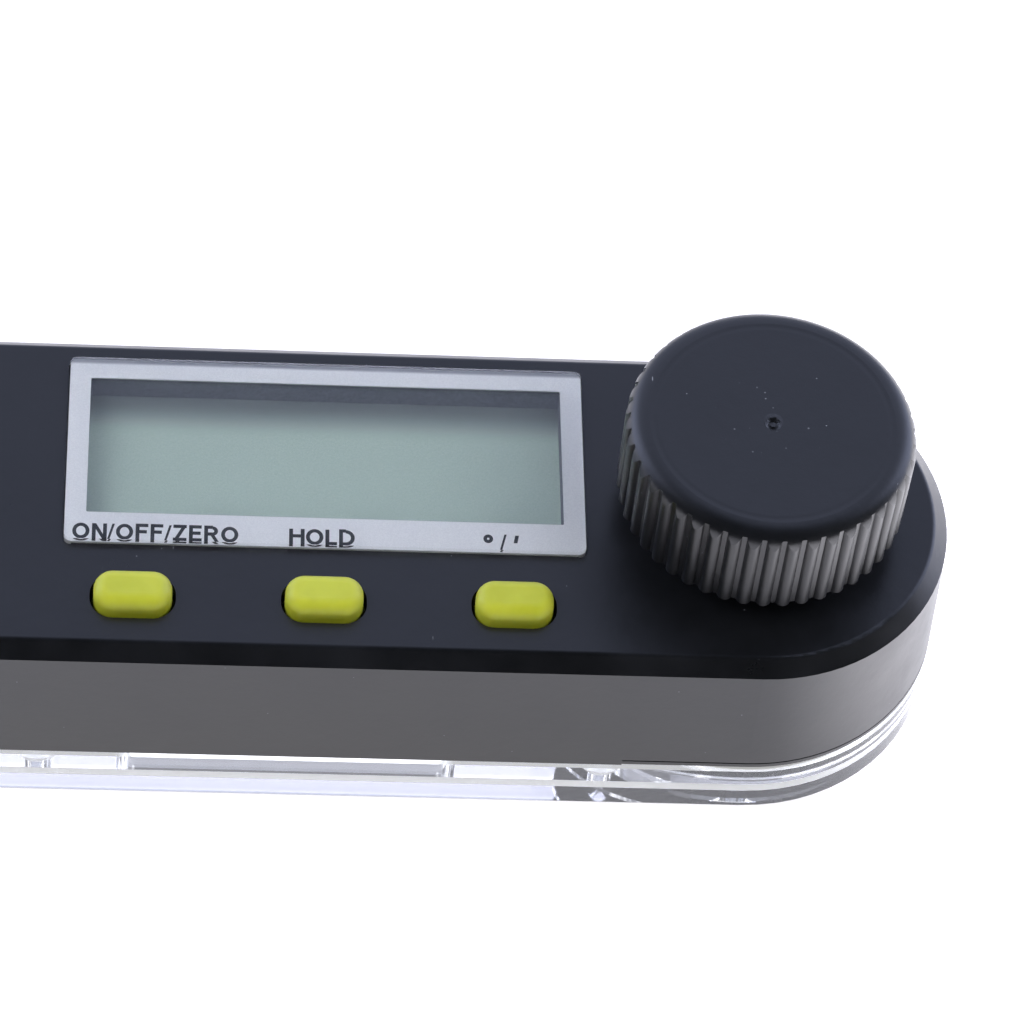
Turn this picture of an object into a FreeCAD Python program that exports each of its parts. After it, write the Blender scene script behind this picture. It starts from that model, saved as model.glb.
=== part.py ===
import FreeCAD, Part
import math
import os

# Digital angle finder: a display case over two clear arms that turn on a clamped pivot.
# Frame: origin on the pivot axis at the underside of the lower arm, +Z up, arms towards -X,
# buttons towards -Y. All sizes in millimetres.

V = FreeCAD.Vector
UP = V(0, 0, 1)

# --- clear arms ---
arm_ledge = 0.6
arm_thick = 3.2
arm_reach = 203.0
arm_tip_corner = 4.0
arm_bevel = 0.5
sole_bevel = 0.15
arm_gap = 0.1
arm_seat_gap = 0.02
hang_hole_radius = 3.0
hang_hole_inset = 10.0

# --- window in the upper arm under the battery ---
access_length = 32.4
access_wall = 1.3
access_corner = 2.0
access_shift = 1.65

# --- display case ---
case_half_width = 18.5
case_flare = 0.49
case_height = 15.85
case_tail_room = 20.6
case_corner = 5.0
case_wall = 2.0
case_roof = 2.2
case_bevel_in = 1.44
case_bevel_down = 1.45
case_bevel_blend = 0.6
cover_thick = 2.2
cover_gap = 0.1
boss_radius = 2.2
foot_groove_x = -12.0
foot_groove_height = 0.16
foot_groove_deep = 0.4
foot_groove_pitch = 0.62

# --- display ---
lens_length = 49.0
lens_thick = 1.1
lens_proud = 0.75
lens_corner = 0.7
lens_gap = 0.16
lens_nose_room = 16.4
lens_front_room = 12.43
lens_side_inset = 3.22
film_thick = 0.12
film_gap = 0.02
border_end = 2.0
border_front = 3.56
border_rear = 1.99
window_margin = 0.3
window_corner = 0.15
display_drop = 2.8
glass_thick = 1.1
glass_margin = 0.9
glass_corner = 0.3
contact_ledge = 2.6
reflector_thick = 0.2
foam_inset = 1.6
carrier_wall = 0.8
zebra_depth = 1.6
zebra_inset = 0.4

# --- buttons and switches ---
button_length = 7.3
button_depth = 4.2
button_corner = 1.85
button_proud = 1.9
button_edge = 1.2
button_pitch = 17.75
button_inset = 6.5
button_shift = -0.15
button_gap = 0.35
button_travel = 0.5
button_lip = 0.8
button_lip_thick = 0.9
button_lip_gap = 0.15
button_stem = 0.3
switch_side = 4.5
switch_height = 3.3
plunger_radius = 1.3
plunger_gap = 0.08

# --- circuit board ---
board_thick = 1.2
board_gap = 0.4
board_end_x = -10.0
post_radius = 1.8
post_tail_inset = 11.5
post_tail_side = 10.5
post_nose_gap = 0.4
post_nose_side = 9.0
chip_inset = 18.0
chip_y = 0.0
chip_side = 6.0
chip_thick = 1.1
crystal_width = 2.0
crystal_length = 5.5
crystal_thick = 1.2
capacitor_count = 5
capacitor_pitch = 2.4
capacitor_length = 1.6
capacitor_width = 0.8
capacitor_thick = 0.7
link_x = -11.4
link_half = 3.0
link_depth = 1.8
link_height = 1.0
pin_radius = 0.25
pin_pitch = 1.27
pin_proud = 0.6

# --- battery, its cup and its sliding door ---
cell_radius = 10.0
cell_thick = 3.2
cell_inset = 19.9
cell_gap = 0.3
cup_wall = 1.2
cup_height = 2.2
door_length = 24.0
door_depth = 23.0
door_thick = 1.2
door_slide = 3.0
door_gap = 0.15
door_lug = 0.9
door_lug_length = 3.0
door_lug_thick = 0.6
door_lug_inset = 4.0
grip_count = 4
grip_pitch = 1.8
grip_deep = 0.25
cell_step = 0.5
leaf_thick = 0.25
leaf_foot = 4.0
leaf_run = 5.0
leaf_pad = 3.0
clip_width = 4.0
clip_foot = 3.0

# --- pivot ---
bolt_radius = 3.0
bolt_head_inset = 5.4
bolt_head_thick = 1.6
bolt_neck_side = 6.0
bolt_tip = 1.4
bolt_chamfer = 0.5
pivot_gap = 0.05
hub_inset = 6.1
hub_gap = 0.08
hub_proud = 0.6
hub_wall = 1.4
hub_floor = 2.0
hub_core_radius = 6.5
hub_sleeve_radius = 5.0
hub_sleeve_length = 4.7
hub_screw_inset = 2.9
rotor_thick = 1.0
rotor_inset = 0.4
stator_clear = 0.3
stator_thick = 1.0
rotor_slits = 12
slit_width = 1.0
slit_rim = 1.0
stator_ear_out = 1.6
stator_ear_radius = 2.0
stator_bore = 5.8
pivot_boss_radius = 7.0
bush_wall = 1.35
bush_flange_radius = 6.3
bush_flange_thick = 0.8
bush_proud = 0.2
wave_thick = 0.5
wave_gap = 0.1
glide_inset = 2.1
glide_width = 3.0
glide_recess = 0.3
glide_gap = 0.15
washer_radius = 8.6
friction_thick = 0.6
thrust_thick = 1.0
thrust_radius = 8.2

# --- clamp knob ---
knob_radius = 13.2
knob_skirt_lift = 3.5
knob_top = 13.9
knob_edge_in = 1.8
knob_edge_down = 1.75
knob_edge_lean = 9.7
knob_wall = 2.2
knob_roof = 2.5
knob_boss_radius = 6.5
knob_ribs = 6
knob_rib_thick = 1.2
ridge_count = 45
ridge_height = 0.45
ridge_space = 0.45
ridge_turn = 4.1
dimple_y = -0.3
dimple_radius = 0.75
dimple_depth = 0.25
nub_radius = 0.28
nub_height = 0.16
insert_radius = 4.3
insert_length = 8.0

# --- fasteners ---
screw_radius = 1.0
screw_head_radius = 1.9
screw_head_height = 1.1
screw_gap = 0.15
screw_bite = 6.0
cross_reach = 0.6
cross_width = 0.4
cross_depth = 0.6
board_screw_radius = 0.8
board_head_radius = 1.5
board_head_height = 1.0
board_screw_bite = 4.0
cover_screw_radius = 0.8
cover_head_radius = 1.5
cover_boss_radius = 2.0
tail_screw_inset = 5.5
tail_screw_side = 6.1
nose_screw_side = 3.8
nose_screw_angle = 45.0
arm_screw_gap = 0.6
arm_screw_inset = 4.3

# --- levels that follow from the sizes above ---
upper_z = arm_thick + arm_gap
case_z = upper_z + arm_thick + arm_seat_gap
roof_z = case_z + case_height
ceiling_z = roof_z - case_roof
cover_z = case_z + cover_thick
print_z = roof_z + lens_proud - lens_thick
pocket_z = print_z - film_thick - film_gap
glass_z = print_z - display_drop
rear_glass_z = glass_z - glass_thick
reflector_z = rear_glass_z - glass_thick
foam_z = reflector_z - reflector_thick
cell_z = case_z + door_thick + door_gap
cell_top = cell_z + cell_thick
hub_z = cover_z + hub_proud
sleeve_z = hub_z + hub_sleeve_length
rotor_z = hub_z + rotor_thick
stator_z = rotor_z + stator_clear
stator_top = stator_z + stator_thick
board_z = stator_top + link_height
board_top = board_z + board_thick
button_base = ceiling_z - button_lip_gap - button_lip_thick - button_stem
button_top = roof_z + button_proud
bush_z = sleeve_z + wave_thick + wave_gap
friction_z = roof_z + bush_proud
thrust_z = friction_z + friction_thick
knob_boss_z = thrust_z + thrust_thick
knob_skirt_z = roof_z + knob_skirt_lift
knob_top_z = roof_z + knob_top
knob_roof_z = knob_top_z - knob_roof
bolt_top = knob_boss_z + insert_length + bolt_tip

# --- places that follow ---
arm_half_width = case_half_width + arm_ledge
access_half_depth = arm_half_width - access_wall
glide_outer = arm_half_width - glide_inset
glide_inner = glide_outer - glide_width
hub_radius = case_half_width - hub_inset
hub_screw_circle = hub_radius - hub_screw_inset
bolt_head_radius = hub_radius - bolt_head_inset
stator_ear_circle = hub_radius + stator_ear_out
case_tail = lens_nose_room + lens_length + case_tail_room
inner_half = case_half_width - case_wall
inner_tail = case_tail - case_wall
inner_corner = case_corner - case_wall
lens_depth = 2 * case_half_width - lens_front_room - lens_side_inset
lens_x = -(lens_nose_room + lens_length / 2)
lens_y = case_half_width - lens_side_inset - lens_depth / 2
lens_tail_x = lens_x - lens_length / 2
window_length = lens_length - 2 * border_end
window_depth = lens_depth - border_front - border_rear
window_y = lens_y + (border_front - border_rear) / 2
glass_length = window_length + 2 * glass_margin
glass_depth = window_depth + 2 * glass_margin + contact_ledge
rear_depth = glass_depth - contact_ledge
glass_y = window_y - contact_ledge / 2
button_xs = [lens_x + button_shift + k * button_pitch for k in (-1, 0, 1)]
button_y = button_inset - case_half_width
arm_screw_xs = (lens_tail_x - boss_radius, boss_radius + arm_screw_gap - lens_nose_room)
arm_screw_y = case_half_width - arm_screw_inset
post_tail_x = post_tail_inset - case_tail
post_nose_x = post_radius + post_nose_gap - lens_nose_room
post_tail_y = case_half_width - post_tail_side
post_nose_y = case_half_width - post_nose_side
chip_x = chip_inset - case_tail
cell_x = lens_tail_x + cell_inset
access_x = cell_x + access_shift
ridge_radius = knob_radius + ridge_height


def around(radius, angles):
    return [(radius * math.cos(math.radians(a)), radius * math.sin(math.radians(a))) for a in angles]


tail_screw_y = case_half_width - tail_screw_side
cover_screws = [(tail_screw_inset - case_tail, s * tail_screw_y) for s in (1, -1)]
cover_screws += around(case_half_width - nose_screw_side, (nose_screw_angle, -nose_screw_angle))
arm_screws = [(x, s * arm_screw_y) for x in arm_screw_xs for s in (1, -1)]
board_posts = [(post_tail_x, s * post_tail_y) for s in (1, -1)]
board_posts += [(post_nose_x, s * post_nose_y) for s in (1, -1)]
ears = around(stator_ear_circle, (0, 90, 270))
hub_screws = around(hub_screw_circle, (30, 150, 270))
link_pins = [(link_x, y * pin_pitch) for y in (-2, -1, 0, 1, 2)]


# --- shapes used by many pieces ---
def drum(radius, z0, z1, x=0, y=0):
    return Part.makeCylinder(radius, z1 - z0, V(x, y, z0), UP)


def ring(outer, inner, z0, z1, x=0, y=0):
    return drum(outer, z0, z1, x, y).cut(drum(inner, z0 - 1, z1 + 1, x, y))


def block(x0, x1, y0, y1, z0, z1):
    return Part.makeBox(x1 - x0, y1 - y0, z1 - z0, V(x0, y0, z0))


def drums(radius, z0, z1, places):
    return [drum(radius, z0, z1, x, y) for x, y in places]


def cut_all(shape, tools):
    for tool in tools:
        shape = shape.cut(tool)
    return shape


def join_all(shape, others):
    for other in others:
        shape = shape.fuse(other)
    return shape.removeSplitter()


def polar(radius, angle, z):
    return V(radius * math.cos(angle), radius * math.sin(angle), z)


def rounded_wire(x, y, length, depth, corner, z):
    arcs = []
    for quarter in range(4):
        start = quarter * math.pi / 2
        mid = start + math.pi / 4
        ox = x + math.copysign(length / 2 - corner, math.cos(mid))
        oy = y + math.copysign(depth / 2 - corner, math.sin(mid))
        arcs.append([V(ox, oy, 0) + polar(corner, start + turn, z) for turn in (0, math.pi / 4, math.pi / 2)])
    edges = []
    for k, arc in enumerate(arcs):
        edges.append(Part.Arc(*arc).toShape())
        edges.append(Part.LineSegment(arc[2], arcs[(k + 1) % 4][0]).toShape())
    return Part.Wire(edges)


def rounded_block(x, y, length, depth, corner, z0, z1):
    face = Part.Face(rounded_wire(x, y, length, depth, corner, z0))
    return face.extrude(V(0, 0, z1 - z0))


def tongue_wire(half, tail, corner, z):
    # round nose about the pivot at +X, straight sides, square tail with rounded corners at -X
    s = corner * math.sqrt(0.5)
    cx = corner - tail
    cy = half - corner
    nose = Part.Arc(V(0, -half, z), V(half, 0, z), V(0, half, z)).toShape()
    left = Part.LineSegment(V(0, half, z), V(cx, half, z)).toShape()
    left_corner = Part.Arc(V(cx, half, z), V(cx - s, cy + s, z), V(-tail, cy, z)).toShape()
    end = Part.LineSegment(V(-tail, cy, z), V(-tail, -cy, z)).toShape()
    right_corner = Part.Arc(V(-tail, -cy, z), V(cx - s, -cy - s, z), V(cx, -half, z)).toShape()
    right = Part.LineSegment(V(cx, -half, z), V(0, -half, z)).toShape()
    return Part.Wire([nose, left, left_corner, end, right_corner, right])


def tongue(half, tail, corner, z0, z1):
    return Part.Face(tongue_wire(half, tail, corner, z0)).extrude(V(0, 0, z1 - z0))


def taper(lower, upper):
    return Part.makeLoft([lower, upper], True, True)


def edges_at(shape, z):
    return [e for e in shape.Edges if abs(e.BoundBox.ZMin - z) < 1e-4 and abs(e.BoundBox.ZMax - z) < 1e-4]


def screw(x, y, z, length, radius, head_radius):
    # countersunk cross-head screw: its head face lies at z and its shank points up
    head = Part.makeCone(head_radius, radius, screw_head_height, V(x, y, z), UP)
    body = head.fuse(drum(radius, z + screw_head_height, z + length, x, y))
    return body.cut(cross_slot(x, y, z, head_radius))


def cross_slot(x, y, z, head_radius):
    reach = head_radius * cross_reach
    thin = cross_width / 2
    one = block(x - reach, x + reach, y - thin, y + thin, z - cross_depth, z + cross_depth)
    other = block(x - thin, x + thin, y - reach, y + reach, z - cross_depth, z + cross_depth)
    return one.fuse(other)


def screw_seat(x, y, z, z_end, radius, head_radius):
    # countersink and clearance hole for a screw whose head face lies at z
    wide = head_radius + screw_gap
    sink = Part.makeCone(wide, radius + screw_gap, screw_head_height, V(x, y, z), UP)
    return sink.fuse(drum(wide, z - 1, z, x, y)).fuse(drum(radius + screw_gap, z, z_end + 1, x, y))


def pan_screw(x, y, z, length):
    # screw with a flat head below z and its shank above
    head = drum(board_head_radius, z - board_head_height, z, x, y)
    body = head.fuse(drum(board_screw_radius, z, z + length, x, y))
    return body.cut(cross_slot(x, y, z - board_head_height, board_head_radius))


def save(name, shapes):
    shape = shapes[0] if len(shapes) == 1 else Part.makeCompound(shapes)
    shape.exportStep("parts/" + name + ".step")


# --- arms ---
def arm_outline(inset, z):
    return tongue_wire(arm_half_width - inset, arm_reach - inset, arm_tip_corner - inset, z)


def arm_blank(z0, lower_bevel, upper_bevel):
    z1 = z0 + arm_thick
    waist0 = z0 + lower_bevel
    waist1 = z1 - upper_bevel
    blank = tongue(arm_half_width, arm_reach, arm_tip_corner, waist0, waist1)
    blank = blank.fuse(taper(arm_outline(lower_bevel, z0), arm_outline(0, waist0)))
    blank = blank.fuse(taper(arm_outline(0, waist1), arm_outline(upper_bevel, z1)))
    return blank.removeSplitter()


def hang_hole(z0, z1):
    return drum(hang_hole_radius, z0 - 1, z1 + 1, hang_hole_inset - arm_reach, 0)


def glide_seat(z0, z1):
    return ring(glide_outer + glide_gap, glide_inner - glide_gap, z0, z1)


def lower_arm():
    neck = bolt_neck_side / 2 + pivot_gap
    cuts = [hang_hole(0, arm_thick),
            drum(bolt_head_radius + pivot_gap, -1, bolt_head_thick),
            block(-neck, neck, -neck, neck, 0, arm_thick + 1),
            glide_seat(arm_thick - glide_recess, arm_thick + 1)]
    cuts += [screw_seat(x, y, 0, arm_thick, screw_radius, screw_head_radius) for x, y in hub_screws]
    return cut_all(arm_blank(0, sole_bevel, arm_bevel), cuts)


def upper_arm():
    cuts = [hang_hole(upper_z, case_z),
            drum(hub_radius + hub_gap, upper_z - 1, case_z + 1),
            rounded_block(access_x, 0, access_length, 2 * access_half_depth, access_corner,
                          upper_z - 1, case_z + 1),
            glide_seat(upper_z - 1, upper_z + glide_recess)]
    cuts += [screw_seat(x, y, upper_z, case_z, screw_radius, screw_head_radius) for x, y in arm_screws]
    return cut_all(arm_blank(upper_z, arm_bevel, arm_bevel), cuts)


def glide_ring():
    return ring(glide_outer, glide_inner, arm_thick - glide_recess, upper_z + glide_recess)


# --- case shells ---
def case_outside():
    flare = case_flare
    foot = tongue_wire(case_half_width + flare, case_tail + flare, case_corner + flare, case_z)
    shoulder = tongue_wire(case_half_width, case_tail, case_corner, roof_z - case_bevel_down)
    rim = tongue_wire(case_half_width - case_bevel_in, case_tail - case_bevel_in,
                      case_corner - case_bevel_in, roof_z)
    solid = taper(foot, shoulder).fuse(taper(shoulder, rim)).removeSplitter()
    return solid.makeFillet(case_bevel_blend, edges_at(solid, roof_z))


def foot_grooves():
    # two shadow lines round the nose, at the foot of the wall and just above it
    reach = case_half_width + 2 * case_flare
    core = tongue(case_half_width + case_flare - foot_groove_deep, case_tail, case_corner, case_z, cover_z)
    lines = [block(foot_groove_x, reach, -reach, reach, z, z + foot_groove_height)
             for z in (case_z, case_z + foot_groove_pitch)]
    return [line.cut(core) for line in lines]


def top_cover():
    shell = case_outside().cut(tongue(inner_half, inner_tail, inner_corner, case_z - 1, ceiling_z))
    posts = drums(cover_boss_radius, cover_z, ceiling_z, cover_screws)
    posts += drums(boss_radius, cover_z, ceiling_z, arm_screws)
    posts += drums(post_radius, board_top, ceiling_z, board_posts)
    posts += drums(post_radius, stator_top, ceiling_z, ears)
    posts.append(drum(pivot_boss_radius, bush_z, ceiling_z))
    bounds = tongue(inner_half + case_wall / 2, inner_tail, inner_corner, case_z, roof_z)
    shell = join_all(shell, [post.common(bounds) for post in posts])
    cuts = foot_grooves()
    cuts.append(rounded_block(lens_x, lens_y, lens_length + 2 * lens_gap, lens_depth + 2 * lens_gap,
                              lens_corner + lens_gap, pocket_z, roof_z + 1))
    cuts.append(window_hole(ceiling_z - 1, roof_z + 1))
    for x in button_xs:
        cuts.append(rounded_block(x, button_y, button_length + 2 * button_gap,
                                  button_depth + 2 * button_gap, button_corner + button_gap,
                                  ceiling_z - 1, roof_z + 1))
    bite = cover_z + screw_bite
    cuts += drums(cover_screw_radius, cover_z - 1, bite, cover_screws)
    cuts += drums(screw_radius, cover_z - 1, bite, arm_screws)
    cuts += drums(board_screw_radius, board_top - 1, board_top + board_screw_bite, board_posts)
    cuts += drums(board_screw_radius, stator_top - 1, stator_top + board_screw_bite, ears)
    cuts.append(drum(bolt_radius + pivot_gap + bush_wall, bush_z - 1, roof_z + 1))
    cuts.append(drum(bush_flange_radius, friction_z - bush_flange_thick, roof_z + 1))
    return cut_all(shell, cuts)


def window_hole(z0, z1):
    return rounded_block(lens_x, window_y, window_length + 2 * window_margin,
                         window_depth + 2 * window_margin, window_corner, z0, z1)


def door_pocket():
    x0 = cell_x - door_length / 2 - door_gap
    x1 = cell_x + door_length / 2 + door_slide + door_gap
    half = door_depth / 2 + door_gap
    return block(x0, x1, -half, half, case_z - 1, cell_z)


def door_lug_starts():
    near = cell_x - door_length / 2 + door_lug_inset
    far = cell_x + door_length / 2 - door_lug_inset - door_lug_length
    return [near, far]


def lug_grooves():
    # each lug runs in a groove and drops out through a notch once the door has slid
    cuts = []
    half = door_depth / 2 + door_lug + door_gap
    top = case_z + door_thick
    for x in door_lug_starts():
        end = x + door_lug_length + door_slide + door_gap
        cuts.append(block(x - door_gap, end, -half, half, top - door_lug_thick - door_gap, cell_z))
        cuts.append(block(x + door_slide - door_gap, end, -half, half, case_z - 1, top))
    return cuts


def cell_cup():
    inner = cell_radius + cell_gap
    outer = inner + cup_wall
    half = clip_width / 2 + cell_gap
    slot = block(cell_x - outer - 1, cell_x, -half, half, cover_z, cover_z + cup_height + 1)
    return ring(outer, inner, cover_z, cover_z + cup_height, cell_x).cut(slot)


def bottom_cover():
    plate = tongue(inner_half - cover_gap, inner_tail - cover_gap, inner_corner - cover_gap, case_z, cover_z)
    plate = plate.fuse(cell_cup())
    cuts = [door_pocket(),
            drum(cell_radius + cell_gap, case_z, cover_z + 1, cell_x),
            drum(hub_radius + hub_gap + cover_gap, case_z - 1, cover_z + 1)]
    cuts += lug_grooves()
    cuts += [screw_seat(x, y, case_z, cover_z, cover_screw_radius, cover_head_radius)
             for x, y in cover_screws]
    cuts += drums(screw_radius + screw_gap, case_z - 1, cover_z + 1, arm_screws)
    return cut_all(plate, cuts)


def battery_door():
    x0 = cell_x - door_length / 2
    x1 = cell_x + door_length / 2
    half = door_depth / 2
    top = case_z + door_thick
    plate = block(x0, x1, -half, half, case_z, top)
    lugs = [block(x, x + door_lug_length, -half - door_lug, half + door_lug, top - door_lug_thick, top)
            for x in door_lug_starts()]
    plate = join_all(plate, lugs)
    for k in range(grip_count):
        x = x0 + (k + 1) * grip_pitch
        plate = plate.cut(block(x, x + grip_pitch / 2, -half / 2, half / 2, case_z - 1, case_z + grip_deep))
    return plate


# --- display stack ---
def display_lens():
    return rounded_block(lens_x, lens_y, lens_length, lens_depth, lens_corner, print_z, print_z + lens_thick)


def border_film():
    film = rounded_block(lens_x, lens_y, lens_length, lens_depth, lens_corner, pocket_z, pocket_z + film_thick)
    return film.cut(rounded_block(lens_x, window_y, window_length, window_depth, window_corner,
                                  pocket_z - 1, print_z + 1))


def front_glass():
    return rounded_block(lens_x, glass_y, glass_length, glass_depth, glass_corner, rear_glass_z, glass_z)


def rear_glass():
    return rounded_block(lens_x, window_y, glass_length, rear_depth, glass_corner, reflector_z, rear_glass_z)


def reflector_film():
    return rounded_block(lens_x, window_y, glass_length, rear_depth, glass_corner, foam_z, reflector_z)


def backing_foam():
    return rounded_block(lens_x, window_y, glass_length - 2 * foam_inset, rear_depth - 2 * foam_inset,
                         glass_corner, board_top, foam_z)


def zebra_strip():
    y0 = glass_y - glass_depth / 2 + zebra_inset
    half = glass_length / 2 - zebra_inset
    return block(lens_x - half, lens_x + half, y0, y0 + zebra_depth, board_top, rear_glass_z)


def display_carrier():
    frame = rounded_block(lens_x, glass_y, glass_length + 2 * carrier_wall, glass_depth + 2 * carrier_wall,
                          carrier_wall, board_top, ceiling_z)
    well = rounded_block(lens_x, glass_y, glass_length + cover_gap, glass_depth + cover_gap, glass_corner,
                         board_top - 1, glass_z)
    return cut_all(frame, [well, window_hole(glass_z - 1, ceiling_z + 1)])


# --- buttons ---
def button(x):
    lip_z = button_base + button_stem
    lip = rounded_block(x, button_y, button_length + 2 * button_lip, button_depth + 2 * button_lip,
                        button_corner + button_lip, lip_z, lip_z + button_lip_thick)
    cap = rounded_block(x, button_y, button_length, button_depth, button_corner, button_base, button_top)
    cap = cap.makeFillet(button_edge, edges_at(cap, button_top))
    return cap.fuse(lip).removeSplitter()


def plunger(x):
    return drum(plunger_radius, board_top + switch_height / 2, button_base, x, button_y)


def switch_body(x):
    half = switch_side / 2
    body = block(x - half, x + half, button_y - half, button_y + half, board_top, board_top + switch_height)
    well = board_top + switch_height / 2 - button_travel - cover_gap
    return body.cut(drum(plunger_radius + plunger_gap, well, board_top + switch_height + 1, x, button_y))


# --- electronics ---
def main_board():
    half = inner_half - board_gap
    tail = inner_tail - board_gap
    length = tail + board_end_x
    board = rounded_block(board_end_x - length / 2, 0, length, 2 * half, inner_corner, board_z, board_top)
    cuts = drums(cover_boss_radius + board_gap, board_z - 1, board_top + 1, cover_screws[:2])
    cuts += drums(boss_radius + board_gap, board_z - 1, board_top + 1, arm_screws)
    cuts += drums(board_screw_radius + screw_gap, board_z - 1, board_top + 1, board_posts)
    cuts += drums(pin_radius, board_z - 1, board_top + 1, link_pins)
    return cut_all(board, cuts)


def chip():
    return rounded_block(chip_x, chip_y, chip_side, chip_side, chip_side / 8, board_z - chip_thick, board_z)


def small_parts():
    # crystal can and a row of chip capacitors on the underside of the board
    parts = [rounded_block(chip_x - chip_side, chip_y, crystal_width, crystal_length, crystal_width / 2.2,
                           board_z - crystal_thick, board_z)]
    for k in range(capacitor_count):
        x = chip_x + (k - (capacitor_count - 1) / 2) * capacitor_pitch
        y = chip_y + chip_side
        parts.append(block(x - capacitor_length / 2, x + capacitor_length / 2, y - capacitor_width / 2,
                           y + capacitor_width / 2, board_z - capacitor_thick, board_z))
    return parts


def cell():
    body = drum(cell_radius, cell_z, cell_top, cell_x)
    step = ring(cell_radius + 1, cell_radius - cell_step, cell_top - cell_step, cell_top + 1, cell_x)
    return body.cut(step)


def minus_leaf():
    # foot under the board, a slope, and a pad that presses on the cell
    x0 = cell_x - leaf_foot - leaf_pad / 2
    x1 = x0 + leaf_foot
    x2 = x1 + leaf_run
    x3 = x2 + leaf_pad
    pad = cell_top + leaf_thick
    line = [(x0, board_z), (x1, board_z), (x2, pad), (x3, pad)]
    y = -clip_width / 2
    upper = [V(x, y, z) for x, z in line]
    lower = [V(x, y, z - leaf_thick) for x, z in reversed(line)]
    return Part.Face(Part.makePolygon(upper + lower + upper[:1])).extrude(V(0, clip_width, 0))


def plus_clip():
    x1 = cell_x - cell_radius
    half = clip_width / 2
    leg = block(x1 - leaf_thick, x1, -half, half, cell_z + cell_thick / 3, board_z)
    foot = block(x1 - clip_foot, x1, -half, half, board_z - leaf_thick, board_z)
    return leg.fuse(foot).removeSplitter()


def link_header():
    pad = block(link_x - link_depth / 2, link_x + link_depth / 2, -link_half, link_half, stator_top, board_z)
    return join_all(pad, drums(pin_radius, stator_z, board_top + pin_proud, link_pins))


def encoder_stator():
    disc = drum(hub_radius, stator_z, stator_top)
    disc = join_all(disc, drums(stator_ear_radius, stator_z, stator_top, ears))
    cuts = [drum(stator_bore, stator_z - 1, stator_top + 1)]
    cuts += drums(board_screw_radius + screw_gap, stator_z - 1, stator_top + 1, ears)
    cuts += drums(pin_radius, stator_z - 1, stator_top + 1, link_pins)
    return cut_all(disc, cuts)


def encoder_rotor():
    outer = hub_radius - rotor_inset
    disc = ring(outer, hub_sleeve_radius, hub_z, rotor_z)
    for k in range(rotor_slits):
        slit = block(hub_core_radius + slit_rim, outer - slit_rim, -slit_width / 2, slit_width / 2,
                     hub_z - 1, rotor_z + 1)
        slit.rotate(V(0, 0, 0), UP, 360 * k / rotor_slits)
        disc = disc.cut(slit)
    return disc


# --- pivot ---
def pivot_hub():
    hub = drum(hub_radius, arm_thick, hub_z).fuse(drum(hub_sleeve_radius, hub_z, sleeve_z))
    hub = hub.cut(ring(hub_radius - hub_wall, hub_core_radius, arm_thick + hub_floor, hub_z + 1))
    hub = join_all(hub, drums(boss_radius, arm_thick, hub_z, hub_screws))
    cuts = [drum(bolt_radius + pivot_gap, 0, sleeve_z + 1)]
    cuts += drums(screw_radius, arm_thick - 1, screw_bite, hub_screws)
    return cut_all(hub, cuts)


def pivot_bolt():
    side = bolt_neck_side / 2
    neck = block(-side, side, -side, side, bolt_head_thick, arm_thick)
    shank = drum(bolt_radius, arm_thick, bolt_top)
    shank = shank.makeChamfer(bolt_chamfer, edges_at(shank, bolt_top))
    return drum(bolt_head_radius, 0, bolt_head_thick).fuse(neck).fuse(shank).removeSplitter()


def pivot_bush():
    inner = bolt_radius + pivot_gap
    tube = drum(inner + bush_wall, bush_z, friction_z)
    flange = drum(bush_flange_radius, friction_z - bush_flange_thick, friction_z)
    return tube.fuse(flange).cut(drum(inner, bush_z - 1, friction_z + 1)).removeSplitter()


def wave_washer():
    return ring(hub_sleeve_radius - pivot_gap, bolt_radius + hub_gap, sleeve_z, sleeve_z + wave_thick)


def friction_washer():
    return ring(washer_radius, bolt_radius + screw_gap, friction_z, thrust_z)


def thrust_washer():
    return ring(thrust_radius, bolt_radius + pivot_gap, thrust_z, knob_boss_z)


# --- knob ---
def ridge_band(z0, z1):
    # rounded ridges side by side, with a narrow strip of the knob's own wall between them
    step = 2 * math.pi / ridge_count
    half = (step - ridge_space / knob_radius) / 2
    edges = []
    for k in range(ridge_count):
        mid = math.radians(ridge_turn) + k * step
        foot0 = polar(knob_radius, mid - half, z0)
        foot1 = polar(knob_radius, mid + half, z0)
        edges.append(Part.Arc(foot0, polar(ridge_radius, mid, z0), foot1).toShape())
        edges.append(Part.Arc(foot1, polar(knob_radius, mid + step / 2, z0),
                              polar(knob_radius, mid + step - half, z0)).toShape())
    return Part.Face(Part.Wire(edges)).extrude(V(0, 0, z1 - z0))


def knob_bound():
    # flat top and one roll that runs out over the ends of the ridges, as far as their crests and past them
    run = math.tan(math.radians(knob_edge_lean))
    side_x = ridge_radius + ridge_height
    edge_z = knob_top_z - knob_edge_down
    bend_x = ridge_radius - run * knob_edge_down
    flat = V(bend_x - knob_edge_in, 0, knob_top_z)
    crest = V(ridge_radius, 0, edge_z)
    roll = Part.BezierCurve()
    roll.setPoles([flat, V(bend_x, 0, knob_top_z), crest])
    line = Part.makePolygon([crest, V(side_x, 0, edge_z - ridge_height / run), V(side_x, 0, knob_skirt_z),
                             V(0, 0, knob_skirt_z), V(0, 0, knob_top_z), flat])
    return Part.Face(Part.Wire([roll.toShape()] + line.Edges)).revolve(V(0, 0, 0), UP, 360)


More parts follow.
